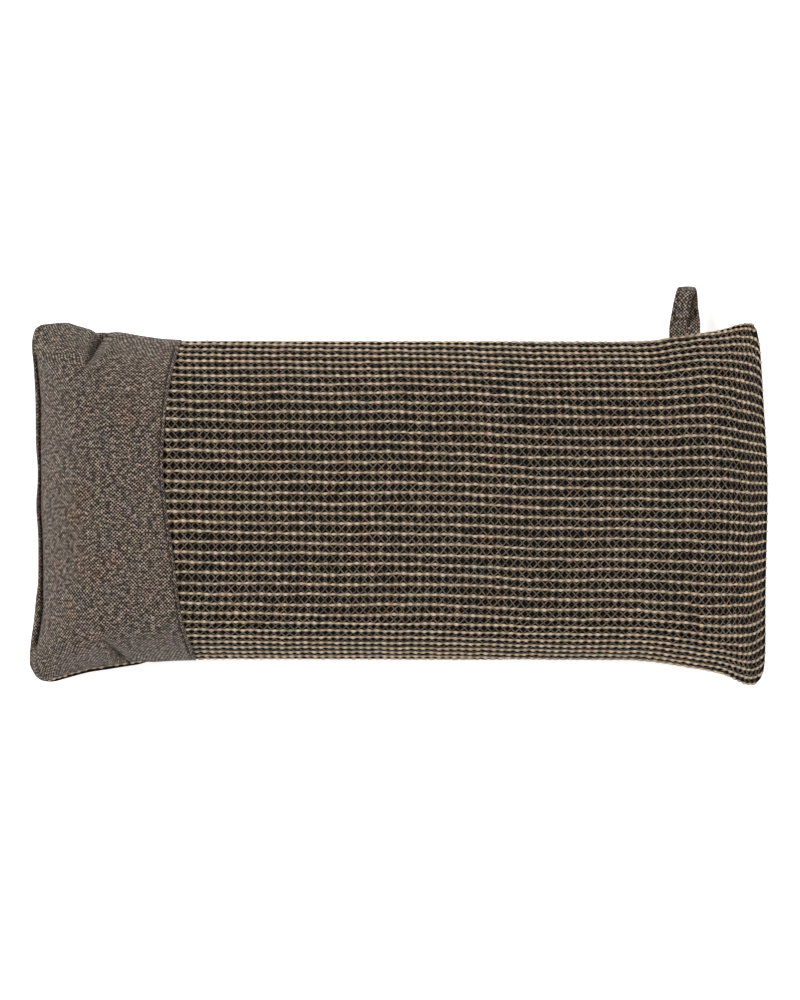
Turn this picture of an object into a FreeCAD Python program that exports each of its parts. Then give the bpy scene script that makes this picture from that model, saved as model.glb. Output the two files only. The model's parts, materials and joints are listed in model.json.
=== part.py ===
import FreeCAD, Part
import math
import os
import Sketcher

# An eye pillow, in millimetres. It lies on its back: +X runs along it from the closed end to the loop end,
# +Y across it towards the edge that carries the loop, +Z up. The origin is the centre of the flat that it
# rests on. The cover has a waffle-weave front and back and a plain band across one end of the front. Inside
# it lies a sewn bag of flaxseed. A folded strap stands out of the long seam and swings where it is sewn in.

Vector = FreeCAD.Vector

# The driving dimensions. Everything below is worked out from these.
SIZES = {
    "half_length": 113.9,
    "waist_half_width": 49.6,
    "ear_half_width": 57.0,
    "corner_radius": 7.0,
    "seam_height": 12.4,
    "crown_height": 18.6,
    "back_depth": 12.7,
    "edge_height": 1.2,
    "lip_width": 1.2,
    "lip_half_span": 47.0,
    "lip_thickness": 1.2,
    "waffle_thickness": 2.2,
    "plain_cloth_thickness": 0.8,
    "seam_allowance": 4.0,
    "allowance_thickness": 1.0,
    "opening_end_margin": 7.0,
    "join_radius": 162.3,
    "join_centre_x": 88.2,
    "join_centre_y": 8.1,
    "lap_clearance": 0.15,
    "bag_clearance": 0.8,
    "bag_thickness": 0.5,
    "bag_half_length": 104.0,
    "bag_half_width": 42.4,
    "bag_seam_allowance": 3.0,
    "fill_clearance": 0.4,
    "fill_headspace": 2.6,
    "strap_width": 5.0,
    "strap_thickness": 1.0,
    "loop_x": 87.8,
    "loop_gap": 1.6,
    "loop_height": 12.3,
    "loop_half_depth": 4.2,
    "loop_spread": 2.15,
    "loop_roll_radius": 1.1,
    "tail_length": 9.0,
    "thread_radius": 0.25,
    "stitch_length": 2.4,
    "stitch_gap": 0.8,
    "bud_length": 4.0,
    "bud_thickness": 1.6,
}

# Where the sections of every dome stand, as fractions of its half length.
STATIONS = [-1.0, -0.99, -0.96, -0.88, -0.7, -0.38, 0.0, 0.38, 0.7, 0.88, 0.96, 0.99, 1.0]
LAP_STATIONS = [-0.72, -0.66, -0.6, -0.54, -0.48]
CAVITY_STATIONS = [-0.975, -0.94, -0.85, -0.65, -0.35, 0.0, 0.35, 0.65, 0.85, 0.94, 0.975]
FILL_STATIONS = [-0.925, -0.85, -0.65, -0.35, 0.0, 0.35, 0.65, 0.85, 0.925]

WAIST_POWER = 5
FRONT_CROWN_POWER = 4
BACK_CROWN_POWER = 6
FRONT = 1
BACK = -1
QUARTER = math.pi / 2

doc = FreeCAD.newDocument("eye_pillow")


def make_sheet():
    """The spreadsheet that holds the driving dimensions, one alias for each."""
    sheet = doc.addObject("Spreadsheet::Sheet", "Sizes")
    for row, (alias, value) in enumerate(SIZES.items(), start=1):
        sheet.set(f"A{row}", alias)
        sheet.set(f"B{row}", str(value))
        sheet.setAlias(f"B{row}", alias)
    doc.recompute()
    return sheet


sizes = make_sheet()


def value(expression):
    """The number that an expression over the sheet comes to."""
    return float(sizes.evalExpression(expression.replace("Sizes.", "")))


def origin_plane(body, role):
    """One of the body's own origin planes."""
    return next(feature for feature in body.Origin.OriginFeatures if feature.Role == role)


# ---------------------------------------------------------------- outlines, as expressions over the sheet

class Cover:
    """The cover's outline: concave long sides, corners that stand out, a crown that falls at the ends."""

    half_length = "Sizes.half_length"

    @staticmethod
    def half_width(u):
        flare = f"(Sizes.ear_half_width - Sizes.waist_half_width) * {abs(u) ** WAIST_POWER}"
        past = f"max(0; abs({u}) * Sizes.half_length - (Sizes.half_length - Sizes.corner_radius))"
        corner = f"(Sizes.corner_radius - sqrt(Sizes.corner_radius ^ 2 - ({past}) ^ 2))"
        return f"(Sizes.waist_half_width + {flare} - {corner})"

    @staticmethod
    def height(u, side):
        power = FRONT_CROWN_POWER if side == FRONT else BACK_CROWN_POWER
        full = "Sizes.crown_height" if side == FRONT else "Sizes.back_depth"
        fall = math.sqrt(1 - abs(u) ** power)
        return f"(Sizes.edge_height + ({full} - Sizes.edge_height) * {fall})"


class Bag:
    """The inner bag's outline: a plain oblong that stays clear of the cover and its seam allowance."""

    half_length = "Sizes.bag_half_length"

    @staticmethod
    def half_width(u):
        reach = abs(u) ** 12
        return f"(Sizes.bag_half_width - Sizes.corner_radius * {reach})"

    @staticmethod
    def height(u, side):
        fall = math.sqrt(1 - abs(u) ** FRONT_CROWN_POWER)
        if side == FRONT:
            full = "(Sizes.crown_height - Sizes.waffle_thickness - Sizes.bag_clearance)"
        else:
            full = "(Sizes.seam_height - Sizes.waffle_thickness - Sizes.bag_clearance)"
        return f"(Sizes.edge_height + ({full} - Sizes.edge_height) * {fall})"


class Fill(Bag):
    """The seed's outline: clear of the inner bag and its allowance, with headspace on the front."""

    @staticmethod
    def half_width(u):
        inset = "(Sizes.bag_thickness + Sizes.bag_seam_allowance + Sizes.fill_clearance)"
        return f"({Bag.half_width(u)} - {inset})"

    @staticmethod
    def height(u, side):
        clearance = "Sizes.fill_headspace" if side == FRONT else "Sizes.fill_clearance"
        return f"({Bag.height(u, side)} - Sizes.bag_thickness - {clearance})"


# ---------------------------------------------------------------- domes

def dome_section(body, name, outline, u, side, inset, floor):
    """A half stadium across the pillow at u: a chord, a quarter arc at each end and a straight top.

    side says whether it rises to the front or the back, inset how far it lies inside the outline and floor
    how far its chord stands from the seam plane.
    """
    sketch = body.newObject("Sketcher::SketchObject", name)
    sketch.AttachmentSupport = [(origin_plane(body, "YZ_Plane"), "")]
    sketch.MapMode = "FlatFace"
    sketch.setExpression(".AttachmentOffset.Base.z", f"{outline.half_length} * {u}")

    half_expression = f"{outline.half_width(u)} - {inset}"
    rise_expression = f"{outline.height(u, side)} - {inset} - {floor}"
    base_expression = f"Sizes.seam_height + {side} * ({floor})"
    half, rise, base = value(half_expression), value(rise_expression), value(base_expression)

    shoulder = half - rise
    right_circle = Part.Circle(Vector(shoulder, base, 0), Vector(0, 0, 1), rise)
    left_circle = Part.Circle(Vector(-shoulder, base, 0), Vector(0, 0, 1), rise)
    chord = sketch.addGeometry(Part.LineSegment(Vector(-half, base, 0), Vector(half, base, 0)))
    if side == FRONT:
        right = sketch.addGeometry(Part.ArcOfCircle(right_circle, 0, QUARTER))
        left = sketch.addGeometry(Part.ArcOfCircle(left_circle, QUARTER, 2 * QUARTER))
        right_low, right_high, left_high, left_low = 1, 2, 1, 2
    else:
        right = sketch.addGeometry(Part.ArcOfCircle(right_circle, -QUARTER, 0))
        left = sketch.addGeometry(Part.ArcOfCircle(left_circle, 2 * QUARTER, 3 * QUARTER))
        right_low, right_high, left_high, left_low = 2, 1, 2, 1
    crest = base + side * rise
    top = sketch.addGeometry(Part.LineSegment(Vector(shoulder, crest, 0), Vector(-shoulder, crest, 0)))

    rule = Sketcher.Constraint
    sketch.addConstraint(rule("Coincident", chord, 2, right, right_low))
    sketch.addConstraint(rule("Tangent", right, right_high, top, 1))
    sketch.addConstraint(rule("Tangent", top, 2, left, left_high))
    sketch.addConstraint(rule("Coincident", left, left_low, chord, 1))
    sketch.addConstraint(rule("PointOnObject", right, 3, chord))
    sketch.addConstraint(rule("PointOnObject", left, 3, chord))
    sketch.addConstraint(rule("Symmetric", chord, 1, chord, 2, -2))
    width_rule = sketch.addConstraint(rule("DistanceX", chord, 1, chord, 2, 2 * half))
    base_rule = sketch.addConstraint(rule("DistanceY", -1, 1, chord, 1, base))
    rise_rule = sketch.addConstraint(rule("Radius", right, rise))
    sketch.setExpression(f"Constraints[{width_rule}]", f"2 * ({half_expression})")
    sketch.setExpression(f"Constraints[{base_rule}]", base_expression)
    sketch.setExpression(f"Constraints[{rise_rule}]", rise_expression)
    return sketch


def dome(body, kind, name, outline, side, inset="0", floor="0", stations=STATIONS):
    """A dome lofted through the sections at the stations; kind is AdditiveLoft or SubtractiveLoft."""
    sections = [
        dome_section(body, f"{name}_{index}", outline, u, side, inset, floor)
        for index, u in enumerate(stations)
    ]
    loft = body.newObject(f"PartDesign::{kind}", name)
    loft.Profile = sections[0]
    loft.Sections = sections[1:]
    body.Tip = loft
    return loft


def level_sketch(body, name, level):
    """A sketch parallel to the table at the given height."""
    sketch = body.newObject("Sketcher::SketchObject", name)
    sketch.AttachmentSupport = [(origin_plane(body, "XY_Plane"), "")]
    sketch.MapMode = "FlatFace"
    sketch.setExpression(".AttachmentOffset.Base.z", level)
    return sketch


def add_rectangle(sketch, low_x, high_x, low_y, high_y):
    """A rectangle whose four sides stand at the given expressions."""
    left, right, bottom, top = (value(side) for side in (low_x, high_x, low_y, high_y))
    corners = [Vector(left, bottom, 0), Vector(right, bottom, 0), Vector(right, top, 0), Vector(left, top, 0)]
    lines = [
        sketch.addGeometry(Part.LineSegment(corners[index], corners[(index + 1) % 4]))
        for index in range(4)
    ]
    rule = Sketcher.Constraint
    for index in range(4):
        sketch.addConstraint(rule("Coincident", lines[index], 2, lines[(index + 1) % 4], 1))
    for index, direction in enumerate(["Horizontal", "Vertical", "Horizontal", "Vertical"]):
        sketch.addConstraint(rule(direction, lines[index]))
    places = [
        ("DistanceX", lines[0], 1, left, low_x),
        ("DistanceX", lines[0], 2, right, high_x),
        ("DistanceY", lines[0], 1, bottom, low_y),
        ("DistanceY", lines[2], 1, top, high_y),
    ]
    for direction, line, end, number, expression in places:
        place = sketch.addConstraint(rule(direction, -1, 1, line, end, number))
        sketch.setExpression(f"Constraints[{place}]", expression)


def add_circle(sketch, centre_x, centre_y, radius):
    """A circle placed and sized by expressions."""
    middle = Vector(value(centre_x), value(centre_y), 0)
    circle = sketch.addGeometry(Part.Circle(middle, Vector(0, 0, 1), value(radius)))
    rule = Sketcher.Constraint
    places = [
        (rule("DistanceX", -1, 1, circle, 3, middle.x), centre_x),
        (rule("DistanceY", -1, 1, circle, 3, middle.y), centre_y),
        (rule("Radius", circle, value(radius)), radius),
    ]
    for constraint, expression in places:
        place = sketch.addConstraint(constraint)
        sketch.setExpression(f"Constraints[{place}]", expression)


def cut(body, sketch, length, upwards):
    """A pocket of the given length from the sketch, up or down, that must take something away."""
    doc.recompute()
    before = body.Shape.Volume
    pocket = body.newObject("PartDesign::Pocket", f"{sketch.Name}_cut")
    pocket.Profile = sketch
    pocket.setExpression("Length", length)
    pocket.Reversed = upwards
    body.Tip = pocket
    doc.recompute()
    if body.Shape.Volume >= before:
        raise RuntimeError(f"{pocket.Name} cuts nothing")


def pad(body, sketch, length, upwards):
    """A pad of the given length from the sketch, up or down."""
    feature = body.newObject("PartDesign::Pad", f"{sketch.Name}_pad")
    feature.Profile = sketch
    feature.setExpression("Length", length)
    feature.Reversed = not upwards
    body.Tip = feature
    doc.recompute()


# ---------------------------------------------------------------- the sewn shells

def hollow(body, outline, side, thickness, allowance, flange_thickness, end_margin):
    """Takes the inside out of a dome and leaves its seam allowance, turned inwards at the seam plane."""
    dome(body, "SubtractiveLoft", f"{body.Name}_inside", outline, side, thickness, flange_thickness,
         CAVITY_STATIONS)
    opening = level_sketch(body, f"{body.Name}_opening", "Sizes.seam_height")
    half_x = f"({outline.half_length} - {end_margin})"
    half_y = f"({outline.half_width(0.0)} - {thickness} - {allowance})"
    add_rectangle(opening, f"-{half_x}", half_x, f"-{half_y}", half_y)
    cut(body, opening, flange_thickness, upwards=side == FRONT)


def shell(label, outline, side, thickness, allowance, flange_thickness, end_margin):
    """Half of a sewn cover: a hollow dome with its seam allowance."""
    body = doc.addObject("PartDesign::Body", label)
    body.Label = label
    dome(body, "AdditiveLoft", f"{label}_outside", outline, side)
    hollow(body, outline, side, thickness, allowance, flange_thickness, end_margin)
    return body


def cover_shell(label, side, thickness):
    return shell(label, Cover, side, thickness, "Sizes.seam_allowance", "Sizes.allowance_thickness",
                 "Sizes.opening_end_margin")


def bag_shell(label, side):
    return shell(label, Bag, side, "Sizes.bag_thickness", "Sizes.bag_seam_allowance", "Sizes.bag_thickness",
                 "Sizes.opening_end_margin")


FULL_HEIGHT = "2 * Sizes.crown_height"
FAR = "3 * Sizes.half_length"


def add_lip(body, side):
    """The flat lip past the closing stitches at the closed end."""
    sketch = level_sketch(body, f"{body.Name}_lip", "Sizes.seam_height")
    add_rectangle(sketch, "-(Sizes.half_length + Sizes.lip_width)", "-(Sizes.half_length - 0.5)",
                  "-Sizes.lip_half_span", "Sizes.lip_half_span")
    pad(body, sketch, "Sizes.lip_thickness", upwards=side == FRONT)


def make_front_end_band():
    """The plain band: everything of a thin front shell that lies beyond the join."""
    body = cover_shell("front_end_band", FRONT, "Sizes.plain_cloth_thickness")
    beyond = level_sketch(body, "band_join", "Sizes.seam_height")
    add_circle(beyond, "Sizes.join_centre_x", "Sizes.join_centre_y", "Sizes.join_radius")
    cut(body, beyond, FULL_HEIGHT, upwards=True)
    add_lip(body, FRONT)
    return body


def make_front_waffle_panel():
    """The waffle front: it ends at the join, where a thinner lap of it runs on under the band."""
    label = "front_waffle_panel"
    body = doc.addObject("PartDesign::Body", label)
    body.Label = label
    dome(body, "AdditiveLoft", "waffle_outside", Cover, FRONT)
    beyond = level_sketch(body, "waffle_join", "Sizes.seam_height")
    add_rectangle(beyond, f"-({FAR})", FAR, f"-({FAR})", FAR)
    add_circle(beyond, "Sizes.join_centre_x", "Sizes.join_centre_y", "Sizes.join_radius")
    cut(body, beyond, FULL_HEIGHT, upwards=True)
    under_band = "(Sizes.plain_cloth_thickness + Sizes.lap_clearance)"
    over_allowance = "(Sizes.allowance_thickness + Sizes.lap_clearance)"
    dome(body, "AdditiveLoft", "waffle_lap", Cover, FRONT, under_band, over_allowance, LAP_STATIONS)
    hollow(body, Cover, FRONT, "Sizes.waffle_thickness", "Sizes.seam_allowance", "Sizes.allowance_thickness",
           "Sizes.opening_end_margin")
    return body


def make_back_waffle_panel():
    """The waffle back, flat where it lies on the table."""
    body = cover_shell("back_waffle_panel", BACK, "Sizes.waffle_thickness")
    below = level_sketch(body, "rest_flat", "0")
    add_rectangle(below, f"-({FAR})", FAR, f"-({FAR})", FAR)
    cut(body, below, FULL_HEIGHT, upwards=False)
    add_lip(body, BACK)
    return body


def make_fill():
    """The flaxseed as one settled mass, with headspace over it."""
    body = doc.addObject("PartDesign::Body", "flaxseed_fill")
    body.Label = "flaxseed_fill"
    for side, name in ((FRONT, "fill_top"), (BACK, "fill_bottom")):
        dome(body, "AdditiveLoft", name, Fill, side, stations=FILL_STATIONS)
    return body


# ---------------------------------------------------------------- threads

BAG_STITCH_FINENESS = 0.8
LOOP_STITCH_FINENESS = 0.65

def thread(start, end, radius):
    """One straight stitch between two points."""
    return Part.makeCylinder(radius, (end - start).Length, start, end - start)


def group(label, solids):
    """Many small solids under one name."""
    feature = doc.addObject("Part::Feature", label)
    feature.Label = label
    feature.Shape = Part.makeCompound(solids)
    feature.Placement = FreeCAD.Placement()
    return feature


def stitches_along(points, fineness=1.0):
    """Stitches laid end to end along a line of points; fineness scales their length and their gap."""
    at, total = polyline_walker(points)
    length = SIZES["stitch_length"] * fineness
    gap = SIZES["stitch_gap"] * fineness
    radius = SIZES["thread_radius"] * fineness
    count = int((total + gap) // (length + gap))
    spare = total - count * (length + gap) + gap
    starts = [spare / 2 + index * (length + gap) for index in range(count)]
    return [thread(at(start), at(start + length), radius) for start in starts]


def cover_point(x, y, side, inset=0.0):
    """The point of the cover's surface over (x, y), or inset below it."""
    u = x / SIZES["half_length"]
    half = value(Cover.half_width(u)) - inset
    rise = value(Cover.height(u, side)) - inset
    over = max(0.0, abs(y) - (half - rise))
    height = math.sqrt(max(0.0, rise ** 2 - over ** 2))
    return Vector(x, y, SIZES["seam_height"] + side * height)


def polyline_walker(points):
    """A function that gives the point at a distance along a line of points, and the line's length."""
    reached = [0.0]
    for first, second in zip(points, points[1:]):
        reached.append(reached[-1] + (second - first).Length)

    def at(distance):
        index = 0
        while index < len(points) - 2 and reached[index + 1] < distance:
            index += 1
        share = (distance - reached[index]) / (reached[index + 1] - reached[index])
        return points[index] + (points[index + 1] - points[index]) * share

    return at, reached[-1]


def make_band_join_topstitch():
    """The stitches that hold the band's folded edge, just behind the join."""
    behind = 1.4
    steps = 120
    radius = SIZES["join_radius"] + behind
    span = SIZES["waist_half_width"] - 1.5
    points = []
    for step in range(steps + 1):
        y = -span + 2 * span * step / steps
        x = SIZES["join_centre_x"] - math.sqrt(radius ** 2 - (y - SIZES["join_centre_y"]) ** 2)
        points.append(cover_point(x, y, FRONT))
    return group("band_join_topstitch", stitches_along(points))


def make_closing_edge_stitch():
    """The stitches that shut the filling gap, on both faces of the lip."""
    x = -(SIZES["half_length"] + 0.5)
    span = SIZES["lip_half_span"] - 0.5
    solids = []
    for side in (FRONT, BACK):
        level = SIZES["seam_height"] + side * SIZES["lip_thickness"]
        solids += stitches_along([Vector(x, -span, level), Vector(x, span, level)])
    return group("closing_edge_stitch", solids)


def make_perimeter_lockstitch():
    """The seam stitches on the allowance inside the two long seams and the right-hand end."""
    from_edge = SIZES["waffle_thickness"] + 1.6
    reach = SIZES["half_length"] - SIZES["opening_end_margin"] + 1.5
    steps = 40
    xs = [-reach + 2 * reach * step / steps for step in range(steps + 1)]
    edge = [value(Cover.half_width(x / SIZES["half_length"])) - from_edge for x in xs]
    solids = []
    for side in (FRONT, BACK):
        level = SIZES["seam_height"] + side * SIZES["allowance_thickness"]
        top = [Vector(x, y, level) for x, y in zip(xs, edge)]
        bottom = [Vector(x, -y, level) for x, y in zip(reversed(xs), reversed(edge))]
        solids += stitches_along(top + bottom)
    return group("perimeter_lockstitch", solids)


def make_inner_bag_seam():
    """The seam stitches on the inner bag's allowance, all the way round."""
    from_edge = SIZES["bag_thickness"] + SIZES["bag_seam_allowance"] / 2
    x = SIZES["bag_half_length"] - SIZES["opening_end_margin"] + SIZES["bag_seam_allowance"] / 2
    y = SIZES["bag_half_width"] - from_edge
    solids = []
    for side in (FRONT, BACK):
        level = SIZES["seam_height"] + side * SIZES["bag_thickness"]
        corners = [Vector(-x, -y, level), Vector(x, -y, level), Vector(x, y, level), Vector(-x, y, level)]
        solids += stitches_along(corners + corners[:1], BAG_STITCH_FINENESS)
    return group("inner_bag_seam", solids)


# ---------------------------------------------------------------- the hanging loop

def seam_reach(x):
    """How far the long seam stands from the middle line at x."""
    return value(Cover.half_width(x / SIZES["half_length"]))


LOOP_OUTER_X = SIZES["loop_x"] + SIZES["loop_spread"] + SIZES["strap_width"] / 2
HINGE = Vector(SIZES["loop_x"], seam_reach(LOOP_OUTER_X) + SIZES["loop_gap"], SIZES["seam_height"])


def strap_centre(turn):
    """The strap's middle at a turn from 0, one foot, to 1, the other, from the hinge."""
    phi = 2 * math.pi * turn
    out = SIZES["loop_height"] * (1 - math.cos(phi)) / 2
    half_gap = 0.55 * SIZES["strap_thickness"]
    depth = SIZES["loop_half_depth"] * math.sin(phi) * math.sin(phi / 2) + half_gap * math.cos(phi / 2)
    along = -SIZES["loop_spread"] * math.cos(phi / 2)
    return Vector(along, out, depth)


def strap_frame(turn):
    """The strap's middle, the direction of its width and its outward normal at a turn."""
    step = 0.02
    inner_turn = min(max(turn, step), 1 - step)
    tangent = (strap_centre(inner_turn + step) - strap_centre(inner_turn - step)).normalize()
    width = (Vector(1, 0, 0) - tangent * tangent.x).normalize()
    outward = width.cross(tangent) * -1
    return strap_centre(turn), width, outward


def strap_section(turn):
    """The strap's section at a turn: an oblong with rounded edges, as a closed wire."""
    centre, width, outward = strap_frame(turn)
    half_width = SIZES["strap_width"] / 2
    half_thickness = SIZES["strap_thickness"] / 2
    flat = half_width - half_thickness

    def corner(across, through):
        return centre + width * across + outward * through

    def rounded_edge(side):
        arc = Part.Arc(corner(side * flat, side * half_thickness), corner(side * half_width, 0),
                       corner(side * flat, -side * half_thickness))
        return arc.toShape()

    upper = Part.makeLine(corner(-flat, half_thickness), corner(flat, half_thickness))
    lower = Part.makeLine(corner(flat, -half_thickness), corner(-flat, -half_thickness))
    return Part.Wire([upper, rounded_edge(1), lower, rounded_edge(-1)])


def make_hanging_loop():
    """The strap from foot to foot, with the rolled root it swings on."""
    sections = 25
    strap = Part.makeLoft([strap_section(index / (sections - 1)) for index in range(sections)], True, False)
    root_length = 2 * SIZES["loop_spread"] + SIZES["strap_width"]
    root_end = Vector(-root_length / 2, 0, 0)
    root = Part.makeCylinder(SIZES["loop_roll_radius"], root_length, root_end, Vector(1, 0, 0))
    feature = doc.addObject("Part::Feature", "hanging_loop")
    feature.Label = "hanging_loop"
    feature.Shape = strap.fuse(root).removeSplitter()
    feature.Placement = FreeCAD.Placement(HINGE, FreeCAD.Rotation())
    return feature


def make_loop_edge_stitch():
    """The stitches that close the folded strap, near its left edge on the outside."""
    from_middle = -(SIZES["strap_width"] / 2 - 0.8)
    steps = 60
    first, last = 0.12, 0.88
    points = []
    for step in range(steps + 1):
        centre, width, outward = strap_frame(first + (last - first) * step / steps)
        points.append(centre + width * from_middle + outward * (SIZES["strap_thickness"] / 2))
    feature = group("loop_edge_stitch", stitches_along(points, LOOP_STITCH_FINENESS))
    feature.Placement = FreeCAD.Placement(HINGE, FreeCAD.Rotation())
    return feature


def make_loop_tails():
    """The strap's two ends side by side in the seam, one over the other by a hair where they meet."""
    tails = []
    outer_y = HINGE.y - SIZES["loop_roll_radius"] - 0.3
    inner_y = outer_y - SIZES["tail_length"]
    for side in (-1, 1):
        low_x = SIZES["loop_x"] + side * SIZES["loop_spread"] - SIZES["strap_width"] / 2
        low_z = SIZES["seam_height"] + (0 if side < 0 else -SIZES["strap_thickness"])
        tails.append(Part.makeBox(SIZES["strap_width"], outer_y - inner_y, SIZES["strap_thickness"],
                                  Vector(low_x, inner_y, low_z)))
    return group("loop_tails", [tails[0].fuse(tails[1]).removeSplitter()])


def make_loop_bartack():
    """A dense row of short stitches over the tails, on the inside of the seam allowance."""
    count = 9
    length = 2.2
    top = SIZES["seam_height"] + SIZES["allowance_thickness"]
    y = HINGE.y - SIZES["loop_roll_radius"] - SIZES["waffle_thickness"] - 3.2
    half_span = SIZES["loop_spread"] + SIZES["strap_width"] / 2 - 0.6
    solids = []
    for index in range(count):
        x = SIZES["loop_x"] - half_span + 2 * half_span * index / (count - 1)
        solids.append(thread(Vector(x, y - length / 2, top), Vector(x, y + length / 2, top),
                             SIZES["thread_radius"]))
    return group("loop_bartack", solids)


# ---------------------------------------------------------------- lavender

def make_lavender_buds():
    """Dried buds lying on the seed, spread by the golden angle over the level part of the fill."""
    count = 32
    golden = math.pi * (3 - math.sqrt(5))
    reach_x = 0.72 * SIZES["bag_half_length"]
    reach_y = 0.62 * SIZES["bag_half_width"]
    stretch = SIZES["bud_length"] / SIZES["bud_thickness"]
    solids = []
    for index in range(count):
        share = math.sqrt((index + 0.5) / count)
        x = reach_x * share * math.cos(index * golden)
        y = reach_y * share * math.sin(index * golden)
        fill_top = value(Bag.height(x / SIZES["bag_half_length"], FRONT))
        fill_top -= SIZES["bag_thickness"] + SIZES["fill_headspace"]
        middle = Vector(x, y, SIZES["seam_height"] + fill_top + SIZES["fill_headspace"] / 2)
        bud = Part.makeSphere(SIZES["bud_thickness"] / 2)
        longer = FreeCAD.Matrix()
        longer.scale(stretch, 1, 1)
        bud = bud.transformGeometry(longer)
        bud.Placement = FreeCAD.Placement(middle, FreeCAD.Rotation(Vector(0, 0, 1), 137.5 * index))
        solids.append(bud)
    return group("lavender_buds", solids)


# ---------------------------------------------------------------- assembly

subparts = [
    make_front_waffle_panel(),
    make_front_end_band(),
    make_back_waffle_panel(),
    bag_shell("inner_bag_front", FRONT),
    bag_shell("inner_bag_back", BACK),
    make_fill(),
    make_hanging_loop(),
    make_loop_edge_stitch(),
    make_loop_tails(),
    make_loop_bartack(),
    make_band_join_topstitch(),
    make_closing_edge_stitch(),
    make_perimeter_lockstitch(),
    make_inner_bag_seam(),
    make_lavender_buds(),
]
doc.recompute()

for item in doc.Objects:
    if "Invalid" in item.State or "Error" in item.State:
        raise RuntimeError(f"{item.Label}: {item.State}")
for subpart in subparts:
    if subpart.Shape.isNull() or not subpart.Shape.isValid():
        raise RuntimeError(f"{subpart.Label} has no valid shape")

os.makedirs("parts", exist_ok=True)
for subpart in subparts:
    subpart.Shape.exportStep(f"parts/{subpart.Label}.step")
    box = subpart.Shape.optimalBoundingBox()
    print(f"{subpart.Label}: {len(subpart.Shape.Solids)} solids, {subpart.Shape.Volume / 1000:.2f} cm3, "
          f"x {box.XMin:.1f} to {box.XMax:.1f}, y {box.YMin:.1f} to {box.YMax:.1f}, "
          f"z {box.ZMin:.1f} to {box.ZMax:.1f}")
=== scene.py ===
import json
import math
from math import pi, tau

import bpy
import numpy as np
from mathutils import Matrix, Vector


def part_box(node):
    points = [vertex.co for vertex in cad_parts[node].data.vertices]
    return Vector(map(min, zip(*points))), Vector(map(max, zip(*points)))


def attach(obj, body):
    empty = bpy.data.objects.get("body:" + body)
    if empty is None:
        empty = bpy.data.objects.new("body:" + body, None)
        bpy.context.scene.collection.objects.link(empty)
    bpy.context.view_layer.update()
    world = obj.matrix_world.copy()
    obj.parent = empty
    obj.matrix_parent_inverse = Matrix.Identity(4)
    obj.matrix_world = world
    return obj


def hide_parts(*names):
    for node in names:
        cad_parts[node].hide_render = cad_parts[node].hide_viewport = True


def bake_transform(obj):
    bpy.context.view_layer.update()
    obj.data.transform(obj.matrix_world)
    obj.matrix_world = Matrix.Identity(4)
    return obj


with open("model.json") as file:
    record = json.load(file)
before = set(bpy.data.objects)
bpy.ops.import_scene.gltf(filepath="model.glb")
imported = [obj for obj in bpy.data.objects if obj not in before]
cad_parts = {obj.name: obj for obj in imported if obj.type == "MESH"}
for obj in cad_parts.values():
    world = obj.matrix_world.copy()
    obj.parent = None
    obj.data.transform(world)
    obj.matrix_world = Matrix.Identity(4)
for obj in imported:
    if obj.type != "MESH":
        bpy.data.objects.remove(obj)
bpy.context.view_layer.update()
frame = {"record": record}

# An eye pillow lying on its back, in millimetres in the CAD model's frame until put() turns them into metres.
# surface(side, u, v) is the outside of the cover: u runs from -1 at the closed end to 1 at the loop end and v
# from -1 to 1 across it. A Cloth spreads those places evenly over the cloth.

MM = 0.001
FRONT, BACK = 1, -1


def box(node):
    """A node's lowest and highest corners."""
    low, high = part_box(node)
    return np.array(low) / MM, np.array(high) / MM


hinge_joint = frame["record"]["behaviour"]["joints"][0]
HINGE = np.array(hinge_joint["pos_m"]) / MM
cover_low, cover_high = box("back_waffle_panel")
panel_low, panel_high = box("front_waffle_panel")
SEAM = panel_low[2]
LENGTH = cover_high[0] - cover_low[0]
MIDDLE = (cover_high[0] + cover_low[0]) / 2

# Each side's full height, how far in from its top, bottom and ends that is reached, how fast, and by what
# share the front's ends are lower.
FULL = {FRONT: panel_high[2] - SEAM, BACK: SEAM}
RUNS = {FRONT: (24.0, 17.0, 22.0), BACK: (17.0, 17.0, 17.0)}
SWELL, CROWNING = 2.15, 0.05

# ---- outline

# The seam line from above, measured from the pillow's middle, in four sides that meet at the corners' tips.
# Corners stand out and the long sides are waisted.
TOP = [(-112.9, 53.4), (-111.3, 54.5), (-108.8, 54.9), (-103.4, 55.3), (-100.4, 54.5), (-96.9, 53.5),
       (-95.2, 52.9), (-94.1, 52.1), (-92.6, 52.2), (-90.0, 52.2), (-86.4, 52.3), (-78.0, 50.9),
       (-68.0, 50.0), (-40.0, 49.9), (0.0, 49.8), (40.0, 49.8), (74.0, 49.9), (84.0, 51.1),
       (93.4, 52.4), (99.5, 53.4), (104.0, 54.7), (107.5, 55.4), (109.7, 54.8), (111.1, 52.8)]
BOTTOM = [(-112.9, -54.2), (-111.6, -55.3), (-109.9, -56.1), (-107.0, -55.8), (-101.8, -54.3),
          (-95.9, -52.8), (-90.0, -51.9), (-83.0, -50.8), (-74.0, -49.8), (-55.0, -49.3), (0.0, -49.4),
          (60.0, -49.6), (75.0, -49.9), (87.0, -51.5), (99.0, -53.7), (104.0, -55.8), (108.0, -57.2),
          (110.6, -56.7), (112.1, -55.0)]
CLOSED_END = [(-112.9, -54.2), (-114.3, -51.6), (-114.7, -49.1), (-114.3, -43.6), (-113.4, -37.0),
              (-112.7, -28.0), (-112.6, -12.0), (-113.2, -1.0), (-112.5, 9.0), (-112.8, 20.0), (-112.9, 31.0),
              (-113.4, 41.0), (-114.0, 47.5), (-113.7, 51.0), (-112.9, 53.4)]
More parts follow.
